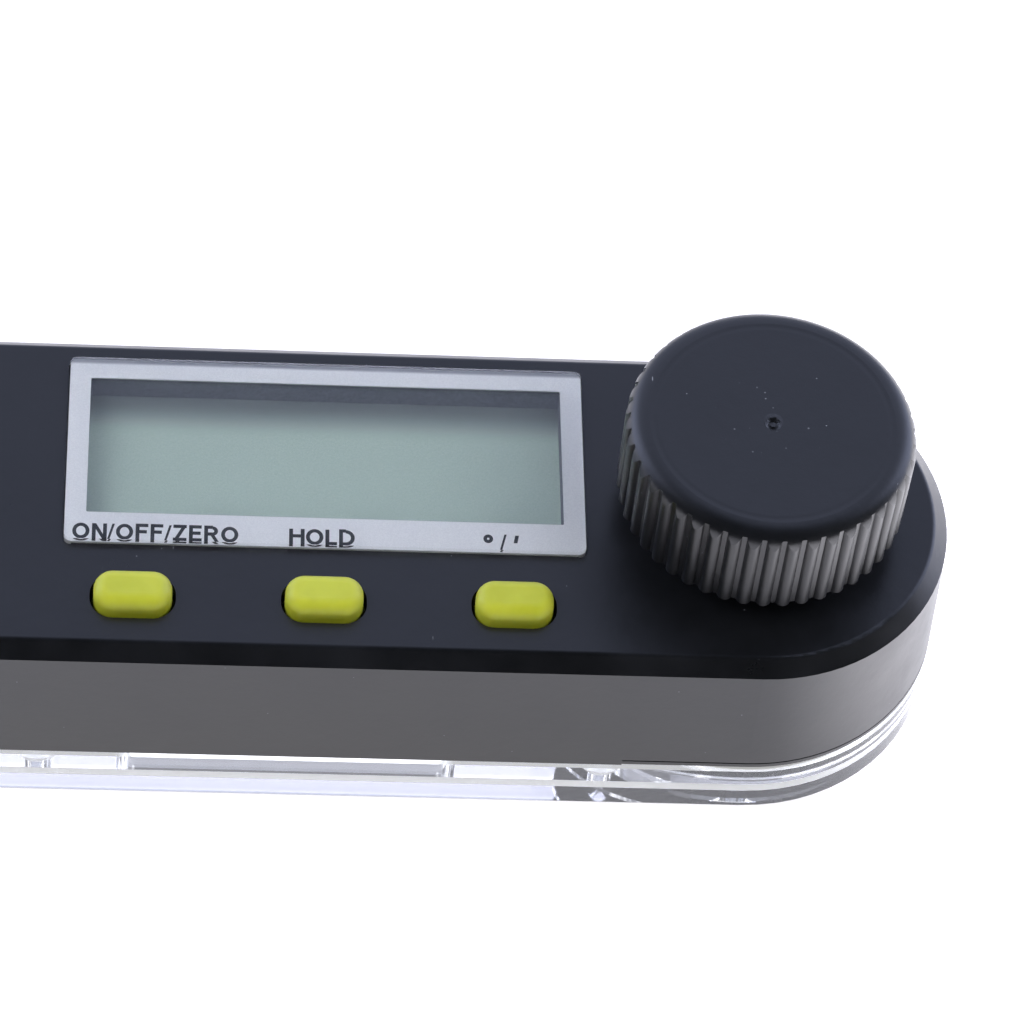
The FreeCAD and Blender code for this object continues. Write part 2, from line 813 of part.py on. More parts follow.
def knob():
    body = ridge_band(knob_skirt_z, knob_top_z).common(knob_bound())
    body = body.cut(drum(knob_radius - knob_wall, knob_skirt_z - 1, knob_roof_z))
    adds = [drum(knob_boss_radius, knob_boss_z, knob_roof_z)]
    for k in range(knob_ribs):
        rib = block(0, knob_radius - knob_wall / 2, -knob_rib_thick / 2, knob_rib_thick / 2,
                    knob_skirt_z + knob_rib_thick, knob_roof_z)
        rib.rotate(V(0, 0, 0), UP, 360 * k / knob_ribs)
        adds.append(rib)
    dimple_z = knob_top_z - dimple_depth
    cuts = [drum(insert_radius, knob_boss_z - 1, knob_boss_z + insert_length),
            drum(bolt_radius + hub_gap, knob_boss_z, bolt_top + bolt_chamfer),
            Part.makeCone(dimple_radius / 2, dimple_radius, dimple_depth, V(0, dimple_y, dimple_z), UP)]
    nub = drum(nub_radius, dimple_z - nub_height, dimple_z + nub_height, 0, dimple_y)
    return cut_all(join_all(body, adds), cuts).fuse(nub)


def knob_insert():
    return ring(insert_radius, bolt_radius + pivot_gap, knob_boss_z, knob_boss_z + insert_length)


os.makedirs("parts", exist_ok=True)

save("lower_arm", [lower_arm()])
save("upper_arm", [upper_arm()])
save("glide_ring", [glide_ring()])
save("top_cover", [top_cover()])
save("bottom_cover", [bottom_cover()])
save("battery_door", [battery_door()])
save("display_lens", [display_lens()])
save("lens_border_film", [border_film()])
save("display_front_glass", [front_glass()])
save("display_rear_glass", [rear_glass()])
save("display_reflector", [reflector_film()])
save("display_backing_foam", [backing_foam()])
save("display_zebra_strip", [zebra_strip()])
save("display_carrier", [display_carrier()])

for label, place in zip(("zero", "hold", "unit"), button_xs):
    save(label + "_button", [button(place)])
    save(label + "_switch_plunger", [plunger(place)])
save("switch_bodies", [switch_body(place) for place in button_xs])

save("main_board", [main_board()])
save("controller_chip", [chip()])
save("board_components", small_parts())
save("coin_cell", [cell()])
save("battery_minus_spring", [minus_leaf()])
save("battery_plus_clip", [plus_clip()])
save("link_header", [link_header()])
save("encoder_stator", [encoder_stator()])
save("encoder_rotor", [encoder_rotor()])

save("pivot_hub", [pivot_hub()])
save("pivot_bolt", [pivot_bolt()])
save("pivot_bush", [pivot_bush()])
save("wave_washer", [wave_washer()])
save("friction_washer", [friction_washer()])
save("thrust_washer", [thrust_washer()])
save("clamp_knob", [knob()])
save("knob_insert", [knob_insert()])

cover_reach = cover_thick + screw_bite
save("cover_screws", [screw(x, y, case_z, cover_reach, cover_screw_radius, cover_head_radius)
                      for x, y in cover_screws])
save("arm_screws", [screw(x, y, upper_z, arm_thick + cover_reach, screw_radius, screw_head_radius)
                    for x, y in arm_screws])
save("hub_screws", [screw(x, y, 0, screw_bite, screw_radius, screw_head_radius) for x, y in hub_screws])
save("board_screws", [pan_screw(x, y, board_z, board_thick + board_screw_bite) for x, y in board_posts])
save("stator_screws", [pan_screw(x, y, stator_z, stator_thick + board_screw_bite) for x, y in ears])
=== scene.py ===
import math
import bpy
import bmesh
from mathutils import Matrix, Vector


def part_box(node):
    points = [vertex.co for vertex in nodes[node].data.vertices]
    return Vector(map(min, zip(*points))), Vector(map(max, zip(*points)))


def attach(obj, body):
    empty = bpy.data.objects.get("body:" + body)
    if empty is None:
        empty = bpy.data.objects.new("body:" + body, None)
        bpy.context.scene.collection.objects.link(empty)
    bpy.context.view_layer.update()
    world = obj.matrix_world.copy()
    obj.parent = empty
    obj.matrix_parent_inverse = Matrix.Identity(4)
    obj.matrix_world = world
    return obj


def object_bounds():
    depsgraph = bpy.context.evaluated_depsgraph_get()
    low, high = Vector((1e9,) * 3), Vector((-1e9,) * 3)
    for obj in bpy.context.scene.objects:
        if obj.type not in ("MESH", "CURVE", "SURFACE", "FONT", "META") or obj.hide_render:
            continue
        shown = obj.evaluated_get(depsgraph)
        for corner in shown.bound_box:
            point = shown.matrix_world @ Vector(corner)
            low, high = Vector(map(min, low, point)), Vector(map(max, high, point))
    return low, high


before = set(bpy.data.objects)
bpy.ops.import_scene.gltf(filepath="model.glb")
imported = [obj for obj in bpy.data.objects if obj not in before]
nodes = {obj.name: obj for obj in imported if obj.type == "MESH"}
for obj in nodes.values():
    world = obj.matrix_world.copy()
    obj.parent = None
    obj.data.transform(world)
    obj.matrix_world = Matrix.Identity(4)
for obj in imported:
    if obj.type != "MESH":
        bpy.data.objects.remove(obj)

# Digital angle finder: a satin black display case on two clear arms, clamped by a ridged knob.
# Lengths in the dictionaries are millimetres, and mm turns them into Blender's metres. Only the
# table's half width and the lamps are given in metres.

mm = 0.001
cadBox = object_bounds()
scene = bpy.context.scene
scene.view_settings.view_transform = "Standard"
# light runs the arms' length between their polished faces
scene.cycles.max_bounces = 24
scene.cycles.glossy_bounces = 20
scene.cycles.transmission_bounces = 24


def boxMm(name):
    low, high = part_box(name)
    return [v / mm for v in low], [v / mm for v in high]


viewpoint = {
    "place": (-57.132, -272.816, 396.444),
    "turn": -7.0994,      # degrees, from straight along +Y
    "tilt": 36.2024,      # degrees up from looking straight down
    "roll": 7.3620,
    "lens": 172.3,
    "sensor": 36.0,
    "near": 10,
    "far": 50000,
}


def makeCamera():
    data = bpy.data.cameras.new("productCamera")
    data.lens = viewpoint["lens"]
    data.sensor_width = viewpoint["sensor"]
    data.clip_start = viewpoint["near"] * mm
    data.clip_end = viewpoint["far"] * mm
    camera = bpy.data.objects.new("productCamera", data)
    turn = Matrix.Rotation(math.radians(viewpoint["turn"]), 4, "Z")
    tilt = Matrix.Rotation(math.radians(viewpoint["tilt"]), 4, "X")
    roll = Matrix.Rotation(math.radians(viewpoint["roll"]), 4, "Z")
    place = Matrix.Translation(Vector(viewpoint["place"]) * mm)
    camera.matrix_world = place @ turn @ tilt @ roll
    scene.collection.objects.link(camera)
    scene.camera = camera


makeCamera()
print("camera set")


def toLinear(code):
    # "#rrggbb" as seen on a screen, to the linear colour that shaders take, by the sRGB curve
    out = []
    for k in (1, 3, 5):
        v = int(code[k:k + 2], 16) / 255
        out.append(v / 12.92 if v <= 0.04045 else ((v + 0.055) / 1.055) ** 2.4)
    return (out[0], out[1], out[2], 1.0)


def connect(tree, node, links):
    # links are socket: (node that feeds it, its output)
    for key, (source, output) in links.items():
        tree.links.new(source.outputs[output], node.inputs[key])


def addNode(tree, kind, settings=None, inputs=None, links=None, stops=None):
    # settings are the node's own fields, inputs its socket values, and stops are a colour ramp's
    # two places and then its two colours
    node = tree.nodes.new(kind)
    for key, value in (settings or {}).items():
        setattr(node, key, value)
    for key, value in (inputs or {}).items():
        node.inputs[key].default_value = value
    connect(tree, node, links or {})
    if stops:
        places, *codes = stops
        for element, place, code in zip(node.color_ramp.elements, places, codes):
            element.position = place
            element.color = toLinear(code)
    return node


def newMaterial(name, inputs):
    # a material with one Principled shader; returns the material, its tree and the shader
    material = bpy.data.materials.new(name)
    material.use_nodes = True
    tree = material.node_tree
    tree.nodes.clear()
    shader = addNode(tree, "ShaderNodeBsdfPrincipled", inputs=inputs)
    addNode(tree, "ShaderNodeOutputMaterial", links={"Surface": (shader, "BSDF")})
    return material, tree, shader


# settings and ramp places that several materials share
mixColours = {"data_type": "RGBA"}
smoothStep = {"interpolation_type": "SMOOTHSTEP"}
absolute = {"operation": "ABSOLUTE"}
multiply = {"operation": "MULTIPLY"}
multiplyAdd = {"operation": "MULTIPLY_ADD"}
larger = {"operation": "MAXIMUM"}
softRamp = (0.35, 0.65)
wideRamp = (0.3, 0.7)
waveShare = 0.05        # a wave texture takes this share of the scale for bands of the same width
speckCore = 0.6         # share of a speck's or the gate's radius that has full strength


def perMm(size):
    # the texture scale whose cells are this many millimetres across
    return 1 / (size * mm)


def dust(tree, place, spacing, radius, share):
    # sparse specks on part of the cells of a grid: 1 on a speck, 0 elsewhere
    cells = addNode(tree, "ShaderNodeTexVoronoi", inputs={"Scale": perMm(spacing)},
                    links={"Vector": place})
    speck = addNode(tree, "ShaderNodeMapRange", inputs={
        "From Min": radius / spacing, "From Max": speckCore * radius / spacing,
        "To Min": 0, "To Max": 1}, links={"Value": (cells, "Distance")})
    pick = addNode(tree, "ShaderNodeSeparateColor", links={"Color": (cells, "Color")})
    few = addNode(tree, "ShaderNodeMath", settings={"operation": "LESS_THAN"}, inputs={1: share},
                  links={0: (pick, "Red")})
    return addNode(tree, "ShaderNodeMath", settings=multiply,
                   links={0: (speck, "Result"), 1: (few, "Value")})


# sideUp, faceUp and bevelUp are heights of the surface normal: 0 on an upright side, 1 on a flat
# face
# the emission strength and the edge, bevel and face colours below are a painted glow on the sheet's
# edges and bevels
acrylic = {
    "body": "#f8fbff", "sawn": "#e8eaf1", "ior": 1.49, "face": 0.02, "edge": 0.06,
    "sideUp": 0.2, "faceUp": 0.9, "bevelUp": 0.707, "bevelSpan": 0.1,
    "paintedGlowStrength": 0.45, "edgeGlowPainted": "#80828a", "bevelGlowPainted": "#ffffff", "faceGlowPainted": "#000000",
    "toolMark": 0.25, "markBend": 6.0, "markStrength": 0.12, "markDeep": 0.004,
}


def clearAcrylicSheet():
    # cast acrylic sheet: water-clear polished faces, bluish sawn edges with fine marks; a painted
    # glow, set as emission, lights the bevels and less so the edges
    material, tree, shader = newMaterial("clearAcrylicSheet", {
        "Transmission Weight": 1.0, "IOR": acrylic["ior"], "Emission Strength": acrylic["paintedGlowStrength"]})
    place = addNode(tree, "ShaderNodeTexCoord")
    facing = addNode(tree, "ShaderNodeNewGeometry")
    split = addNode(tree, "ShaderNodeSeparateXYZ", links={"Vector": (facing, "True Normal")})
    up = addNode(tree, "ShaderNodeMath", settings=absolute, links={0: (split, "Z")})
    flat = addNode(tree, "ShaderNodeMapRange", inputs={
        "From Min": acrylic["sideUp"], "From Max": acrylic["faceUp"], "To Min": 0, "To Max": 1},
        links={"Value": (up, "Value")})
    colour = addNode(tree, "ShaderNodeMix", settings=mixColours,
                     inputs={"A": toLinear(acrylic["sawn"]), "B": toLinear(acrylic["body"])},
                     links={"Factor": (flat, "Result")})
    rough = addNode(tree, "ShaderNodeMapRange", inputs={
        "From Min": 0, "From Max": 1, "To Min": acrylic["edge"], "To Max": acrylic["face"]},
        links={"Value": (flat, "Result")})
    slope = addNode(tree, "ShaderNodeMath", settings={"operation": "COMPARE"},
                    inputs={1: acrylic["bevelUp"], 2: acrylic["bevelSpan"]},
                    links={0: (up, "Value")})
    # painted glow: the sawn edges glow dim grey, the flat faces not at all
    edges = addNode(tree, "ShaderNodeMix", settings=mixColours,
                    inputs={"A": toLinear(acrylic["edgeGlowPainted"]),
                            "B": toLinear(acrylic["faceGlowPainted"])},
                    links={"Factor": (flat, "Result")})
    # painted glow: the bevels glow white
    paintedGlow = addNode(tree, "ShaderNodeMix", settings=mixColours,
                    inputs={"B": toLinear(acrylic["bevelGlowPainted"])},
                    links={"Factor": (slope, "Value"), "A": (edges, "Result")})
    marks = addNode(tree, "ShaderNodeTexWave", settings={"bands_direction": "X"}, inputs={
        "Scale": waveShare * perMm(acrylic["toolMark"]), "Distortion": acrylic["markBend"],
        "Detail": 2.0, "Detail Scale": 3.0}, links={"Vector": (place, "Object")})
    amount = addNode(tree, "ShaderNodeMapRange", inputs={
        "From Min": 0, "From Max": 1, "To Min": acrylic["markStrength"], "To Max": 0},
        links={"Value": (flat, "Result")})
    bump = addNode(tree, "ShaderNodeBump", inputs={"Distance": acrylic["markDeep"] * mm},
                   links={"Height": (marks, "Fac"), "Strength": (amount, "Result")})
    connect(tree, shader, {"Base Color": (colour, "Result"), "Roughness": (rough, "Result"),
                           "Emission Color": (paintedGlow, "Result"), "Normal": (bump, "Normal")})
    return material


lensAcrylic = {"body": "#f7f9fb", "ior": 1.49, "face": 0.015, "side": 0.22,
               "sideUp": 0.8, "faceUp": 0.97, "wave": 6.0, "waveStrength": 0.1, "waveDeep": 0.004}


def clearLensPlate():
    # hard-coated acrylic display plate, moulded and polished: glass clear, faint waviness, duller
    # sides
    material, tree, shader = newMaterial("clearLensPlate", {
        "Base Color": toLinear(lensAcrylic["body"]), "Transmission Weight": 1.0,
        "IOR": lensAcrylic["ior"]})
    place = addNode(tree, "ShaderNodeTexCoord")
    facing = addNode(tree, "ShaderNodeNewGeometry")
    split = addNode(tree, "ShaderNodeSeparateXYZ", links={"Vector": (facing, "True Normal")})
    up = addNode(tree, "ShaderNodeMath", settings=absolute, links={0: (split, "Z")})
    rough = addNode(tree, "ShaderNodeMapRange", inputs={
        "From Min": lensAcrylic["sideUp"], "From Max": lensAcrylic["faceUp"],
        "To Min": lensAcrylic["side"], "To Max": lensAcrylic["face"]},
        links={"Value": (up, "Value")})
    wave = addNode(tree, "ShaderNodeTexNoise",
                   inputs={"Scale": perMm(lensAcrylic["wave"]), "Detail": 1.0},
                   links={"Vector": (place, "Object")})
    bump = addNode(tree, "ShaderNodeBump", inputs={
        "Distance": lensAcrylic["waveDeep"] * mm, "Strength": lensAcrylic["waveStrength"]},
        links={"Height": (wave, "Fac")})
    connect(tree, shader, {"Roughness": (rough, "Result"), "Normal": (bump, "Normal")})
    return material


blackAbs = {
    "low": "#0b0c0e", "high": "#101114", "ior": 1.66, "rough": 0.33, "roughSpan": 0.06,
    "flow": 9.0, "flowRough": 0.62, "texture": 0.22, "grain": 0.004,
    "mottle": 1.1, "mottleDeep": 0.011,
    "speckSpacing": 2.1, "speckRadius": 0.08, "speckShare": 0.4, "speck": "#666970",
    "lintSpacing": 1.3, "lintRadius": 0.06, "lintShare": 0.14, "lintTurn": 0.7, "lintLong": 0.16,
    "ringRadius": 11.15, "ringWidth": 0.9, "ringDepth": 0.012,
    "scuffSpacing": 0.8, "scuffRadius": 0.11, "scuffShare": 0.5, "scuffFrom": 1.0, "scuffTo": 6.0,
    "gateRadius": 0.95, "gateGrain": 0.35, "gateDepth": 0.12,
}


def capRing(tree, reach):
    # relief in mm: a faint soft ring sunk just inside the knob's edge
    half = blackAbs["ringWidth"] / 2
    away = addNode(tree, "ShaderNodeMath", settings={"operation": "SUBTRACT"},
                   inputs={1: blackAbs["ringRadius"]}, links={0: (reach, "Value")})
    off = addNode(tree, "ShaderNodeMath", settings=absolute, links={0: (away, "Value")})
    return addNode(tree, "ShaderNodeMapRange", settings=smoothStep, inputs={
        "From Min": 0, "From Max": half, "To Min": -blackAbs["ringDepth"], "To Max": 0},
        links={"Value": (off, "Value")})


def knobWear(tree, place, height, dirt):
    # the knob's face: adds the ring and the torn gate mark to the relief, and scuffs to the dirt
    flat = addNode(tree, "ShaderNodeMapping", inputs={"Scale": (1 / mm, 1 / mm, 0)},
                   links={"Vector": (place, "Object")})
    reach = addNode(tree, "ShaderNodeVectorMath", settings={"operation": "LENGTH"},
                    links={0: (flat, "Vector")})
    height = addNode(tree, "ShaderNodeMath", settings={"operation": "ADD"},
                     links={0: (height, "Value"), 1: (capRing(tree, reach), "Result")})
    scuffs = dust(tree, (place, "Object"), blackAbs["scuffSpacing"], blackAbs["scuffRadius"],
                  blackAbs["scuffShare"])
    torn = addNode(tree, "ShaderNodeTexNoise",
                   inputs={"Scale": perMm(blackAbs["gateGrain"]), "Detail": 3.0},
                   links={"Vector": (place, "Object")})
    gate = addNode(tree, "ShaderNodeMapRange", inputs={
        "From Min": speckCore * blackAbs["gateRadius"], "From Max": blackAbs["gateRadius"],
        "To Min": blackAbs["gateDepth"], "To Max": 0}, links={"Value": (reach, "Value")})
    height = addNode(tree, "ShaderNodeMath", settings=multiplyAdd,
                     links={0: (torn, "Fac"), 1: (gate, "Result"), 2: (height, "Value")})
    near = addNode(tree, "ShaderNodeMapRange", inputs={
        "From Min": blackAbs["scuffFrom"], "From Max": blackAbs["scuffTo"],
        "To Min": 1, "To Max": 0}, links={"Value": (reach, "Value")})
    worn = addNode(tree, "ShaderNodeMath", settings=multiply,
                   links={0: (scuffs, "Value"), 1: (near, "Result")})
    dirt = addNode(tree, "ShaderNodeMath", settings=larger,
                   links={0: (dirt, "Value"), 1: (worn, "Value")})
    return height, dirt


def mouldedBlackAbs(name, knob):
    # ABS, moulded in a spark-eroded tool: satin black with a fine grain, faint mottle and flow
    # tone, dust; the knob's version has a soft ring on its face, a torn gate mark and handling
    # specks about its middle
    material, tree, shader = newMaterial(name, {"IOR": blackAbs["ior"]})
    place = addNode(tree, "ShaderNodeTexCoord")
    flow = addNode(tree, "ShaderNodeTexNoise", inputs={
        "Scale": perMm(blackAbs["flow"]), "Detail": 6.0, "Roughness": blackAbs["flowRough"]},
        links={"Vector": (place, "Object")})
    tone = addNode(tree, "ShaderNodeValToRGB", links={"Fac": (flow, "Fac")},
                   stops=(softRamp, blackAbs["low"], blackAbs["high"]))
    specks = dust(tree, (place, "Object"), blackAbs["speckSpacing"], blackAbs["speckRadius"],
                  blackAbs["speckShare"])
    swing = addNode(tree, "ShaderNodeMapping", inputs={
        "Rotation": (0, 0, blackAbs["lintTurn"]), "Scale": (1, blackAbs["lintLong"], 1)},
        links={"Vector": (place, "Object")})
    lint = dust(tree, (swing, "Vector"), blackAbs["lintSpacing"], blackAbs["lintRadius"],
                blackAbs["lintShare"])
    dirt = addNode(tree, "ShaderNodeMath", settings=larger,
                   links={0: (specks, "Value"), 1: (lint, "Value")})
    fine = addNode(tree, "ShaderNodeTexNoise", inputs={
        "Scale": perMm(blackAbs["texture"]), "Detail": 3.0, "Roughness": 0.6},
        links={"Vector": (place, "Object")})
    height = addNode(tree, "ShaderNodeMath", settings=multiply,
                     inputs={1: blackAbs["grain"]}, links={0: (fine, "Fac")})
    mottle = addNode(tree, "ShaderNodeTexNoise", inputs={
        "Scale": perMm(blackAbs["mottle"]), "Detail": 2.0}, links={"Vector": (place, "Object")})
    height = addNode(tree, "ShaderNodeMath", settings=multiplyAdd,
                     inputs={1: blackAbs["mottleDeep"]},
                     links={0: (mottle, "Fac"), 2: (height, "Value")})
    if knob:
        height, dirt = knobWear(tree, place, height, dirt)
    colour = addNode(tree, "ShaderNodeMix", settings=mixColours,
                     inputs={"B": toLinear(blackAbs["speck"])},
                     links={"Factor": (dirt, "Value"), "A": (tone, "Color")})
    rough = addNode(tree, "ShaderNodeMapRange", inputs={
        "From Min": wideRamp[0], "From Max": wideRamp[1],
        "To Min": blackAbs["rough"] - blackAbs["roughSpan"],
        "To Max": blackAbs["rough"] + blackAbs["roughSpan"]}, links={"Value": (flow, "Fac")})
    bump = addNode(tree, "ShaderNodeBump", inputs={"Distance": mm},
                   links={"Height": (height, "Value")})
    connect(tree, shader, {"Base Color": (colour, "Result"), "Roughness": (rough, "Result"),
                           "Normal": (bump, "Normal")})
    return material


# edge is a painted shade's colour, and the two after it its distances from the lens's rear edge
silverInk = {"low": "#e9eaed", "high": "#f3f4f6", "flake": 0.12, "ramp": (0.38, 0.62),
             "edge": "#9a9ca6", "edgeShadeFrom": 0.7, "edgeShadeTo": 0.3}


def screenSilverInk():
    # silver screen ink behind the lens: even grey, fine aluminium flake, a little light passes
    # through it; a painted shade darkens it along the rear edge
    material, tree, shader = newMaterial("screenSilverInk", {
        "Metallic": 0.2, "Roughness": 0.5, "Transmission Weight": 0.3, "IOR": 1.45})
    place = addNode(tree, "ShaderNodeTexCoord")
    flakes = addNode(tree, "ShaderNodeTexNoise", inputs={
        "Scale": perMm(silverInk["flake"]), "Detail": 2.0, "Roughness": 0.7},
        links={"Vector": (place, "Object")})
    tone = addNode(tree, "ShaderNodeValToRGB", links={"Fac": (flakes, "Fac")},
                   stops=(silverInk["ramp"], silverInk["low"], silverInk["high"]))
    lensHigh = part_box("display_lens")[1]
    rear = lensHigh[1]
    split = addNode(tree, "ShaderNodeSeparateXYZ", links={"Vector": (place, "Object")})
    # painted shade: the ink turns to the edge colour towards the lens's rear edge
    thin = addNode(tree, "ShaderNodeMapRange", settings=smoothStep, inputs={
        "From Min": rear - silverInk["edgeShadeFrom"] * mm, "From Max": rear - silverInk["edgeShadeTo"] * mm,
        "To Min": 0, "To Max": 1}, links={"Value": (split, "Y")})
    colour = addNode(tree, "ShaderNodeMix", settings=mixColours,
                     inputs={"B": toLinear(silverInk["edge"])},
                     links={"Factor": (thin, "Result"), "A": (tone, "Color")})
    connect(tree, shader, {"Base Color": (colour, "Result")})
    return material


blackInk = {"low": "#0e0f12", "high": "#17191e", "patch": 0.3}


def printedBlackInk():
    # pad-printed black ink: flat and slightly uneven in density
    material, tree, shader = newMaterial("printedBlackInk", {"Roughness": 0.55})
    place = addNode(tree, "ShaderNodeTexCoord")
    patchy = addNode(tree, "ShaderNodeTexNoise",
                     inputs={"Scale": perMm(blackInk["patch"]), "Detail": 2.0},
                     links={"Vector": (place, "Object")})
    tone = addNode(tree, "ShaderNodeValToRGB", links={"Fac": (patchy, "Fac")},
                   stops=(wideRamp, blackInk["low"], blackInk["high"]))
    connect(tree, shader, {"Base Color": (tone, "Color")})
    return material


# rear is the colour of a painted shade along the rear of the window, and the two numbers after it
# its span in Y, in mm
polariser = {"low": "#a1b2a5", "high": "#a9b9ad", "rear": "#6b7274", "rearShadeTo": 12.8,
             "rearShadeFrom": 8.4, "grain": 0.18, "rough": 0.2, "grainStrength": 0.3,
             "grainDeep": 0.002}


def displayPolariser():
    # polariser film on display glass: grey-green and blank, satin with a very fine antiglare
    # grain; a painted shade makes it greyer along the rear of the window
    material, tree, shader = newMaterial("displayPolariser",
                                         {"Roughness": polariser["rough"], "IOR": 1.5})
    place = addNode(tree, "ShaderNodeTexCoord")
    fine = addNode(tree, "ShaderNodeTexNoise",
                   inputs={"Scale": perMm(polariser["grain"]), "Detail": 2.0},
                   links={"Vector": (place, "Object")})
    tone = addNode(tree, "ShaderNodeValToRGB", links={"Fac": (fine, "Fac")},
                   stops=(wideRamp, polariser["low"], polariser["high"]))
    split = addNode(tree, "ShaderNodeSeparateXYZ", links={"Vector": (place, "Object")})
    # painted shade: the film turns greyer towards the rear of the window
    rear = addNode(tree, "ShaderNodeMapRange", settings=smoothStep, inputs={
        "From Min": polariser["rearShadeFrom"] * mm, "From Max": polariser["rearShadeTo"] * mm,
        "To Min": 0, "To Max": 1}, links={"Value": (split, "Y")})
    colour = addNode(tree, "ShaderNodeMix", settings=mixColours,
                     inputs={"B": toLinear(polariser["rear"])},
                     links={"Factor": (rear, "Result"), "A": (tone, "Color")})
    bump = addNode(tree, "ShaderNodeBump", inputs={
        "Distance": polariser["grainDeep"] * mm, "Strength": polariser["grainStrength"]},
        links={"Height": (fine, "Fac")})
    connect(tree, shader, {"Base Color": (colour, "Result"), "Normal": (bump, "Normal")})
    return material


limeSilicone = {"low": "#979c26", "high": "#9fa430", "cloud": 2.5, "texture": 0.12,
                "textureStrength": 0.3, "textureDeep": 0.006, "speck": "#d7dbb0",
                "speckSpacing": 1.6, "speckRadius": 0.05, "speckShare": 0.25, "glow": 2.2}


def limeSiliconeRubber():
    # moulded silicone rubber with a matt lacquer, lime: soft sheen, light enters a little way
    material, tree, shader = newMaterial("limeSiliconeRubber", {
        "Roughness": 0.55, "IOR": 1.55, "Coat Weight": 0.6, "Coat Roughness": 0.55,
        "Subsurface Weight": 0.7, "Subsurface Scale": limeSilicone["glow"] * mm,
        "Subsurface Radius": (1.0, 0.75, 0.2)})
    place = addNode(tree, "ShaderNodeTexCoord")
    cloud = addNode(tree, "ShaderNodeTexNoise",
                    inputs={"Scale": perMm(limeSilicone["cloud"]), "Detail": 2.0},
                    links={"Vector": (place, "Object")})
    tone = addNode(tree, "ShaderNodeValToRGB", links={"Fac": (cloud, "Fac")},
                   stops=(softRamp, limeSilicone["low"], limeSilicone["high"]))
    specks = dust(tree, (place, "Object"), limeSilicone["speckSpacing"],
                  limeSilicone["speckRadius"], limeSilicone["speckShare"])
    colour = addNode(tree, "ShaderNodeMix", settings=mixColours,
                     inputs={"B": toLinear(limeSilicone["speck"])},
                     links={"Factor": (specks, "Value"), "A": (tone, "Color")})
    skin = addNode(tree, "ShaderNodeTexNoise",
                   inputs={"Scale": perMm(limeSilicone["texture"]), "Detail": 2.0},
                   links={"Vector": (place, "Object")})
    bump = addNode(tree, "ShaderNodeBump", inputs={
        "Distance": limeSilicone["textureDeep"] * mm,
        "Strength": limeSilicone["textureStrength"]}, links={"Height": (skin, "Fac")})
    connect(tree, shader, {"Base Color": (colour, "Result"), "Normal": (bump, "Normal")})
    return material


partSkin = {"deep": 0.01, "strength": 0.3}


def plainPart(name, low, high, rough, grain):
    # small moulded, cut or fired parts: two close tones and a light grain, grain in mm
    material, tree, shader = newMaterial(name, {"Roughness": rough})
    place = addNode(tree, "ShaderNodeTexCoord")
    fine = addNode(tree, "ShaderNodeTexNoise", inputs={"Scale": perMm(grain), "Detail": 3.0},
                   links={"Vector": (place, "Object")})
    tone = addNode(tree, "ShaderNodeValToRGB", links={"Fac": (fine, "Fac")},
                   stops=(softRamp, low, high))
    bump = addNode(tree, "ShaderNodeBump",
                   inputs={"Distance": partSkin["deep"] * mm, "Strength": partSkin["strength"]},
                   links={"Height": (fine, "Fac")})
    connect(tree, shader, {"Base Color": (tone, "Color"), "Normal": (bump, "Normal")})
    return material


board = {"mask": "#0f5a2c", "maskToo": "#115f30", "track": "#1f7d45", "pitch": 2.4,
         "trackShare": 0.06, "trackHigh": 0.03, "trackStrength": 0.5}


def solderMaskedBoard():
    # glass-epoxy board under green solder mask: copper runs show as lighter, slightly raised tracks
    material, tree, shader = newMaterial("solderMaskedBoard", {"Roughness": 0.3})
    place = addNode(tree, "ShaderNodeTexCoord")
    tracks = addNode(tree, "ShaderNodeTexBrick", settings={"offset": 0.5}, inputs={
        "Scale": perMm(board["pitch"]), "Mortar Size": board["trackShare"],
        "Color1": toLinear(board["mask"]), "Color2": toLinear(board["maskToo"]),
        "Mortar": toLinear(board["track"])}, links={"Vector": (place, "Object")})
    bump = addNode(tree, "ShaderNodeBump", inputs={
        "Distance": board["trackHigh"] * mm, "Strength": board["trackStrength"]},
        links={"Height": (tracks, "Fac")})
    connect(tree, shader, {"Base Color": (tracks, "Color"), "Normal": (bump, "Normal")})
    return material


platedSpan = 0.1        # how much duller the dullest streak is


def platedSteel(name, low, high, rough, streak):
    # plated steel: a fine drawn or tumbled streak in the sheen, streak in mm
    material, tree, shader = newMaterial(name, {"Metallic": 1.0})
    place = addNode(tree, "ShaderNodeTexCoord")
    cloud = addNode(tree, "ShaderNodeTexNoise", inputs={"Scale": perMm(streak), "Detail": 3.0},
                    links={"Vector": (place, "Object")})
    tone = addNode(tree, "ShaderNodeValToRGB", links={"Fac": (cloud, "Fac")},
                   stops=(wideRamp, low, high))
    gloss = addNode(tree, "ShaderNodeMapRange", inputs={
        "From Min": wideRamp[0], "From Max": wideRamp[1],
        "To Min": rough, "To Max": rough + platedSpan}, links={"Value": (cloud, "Fac")})
    connect(tree, shader, {"Base Color": (tone, "Color"), "Roughness": (gloss, "Result")})
    return material


brass = {"low": "#c79a4a", "high": "#d8ae5c", "ring": 0.2, "ringStrength": 0.4, "ringDeep": 0.004}


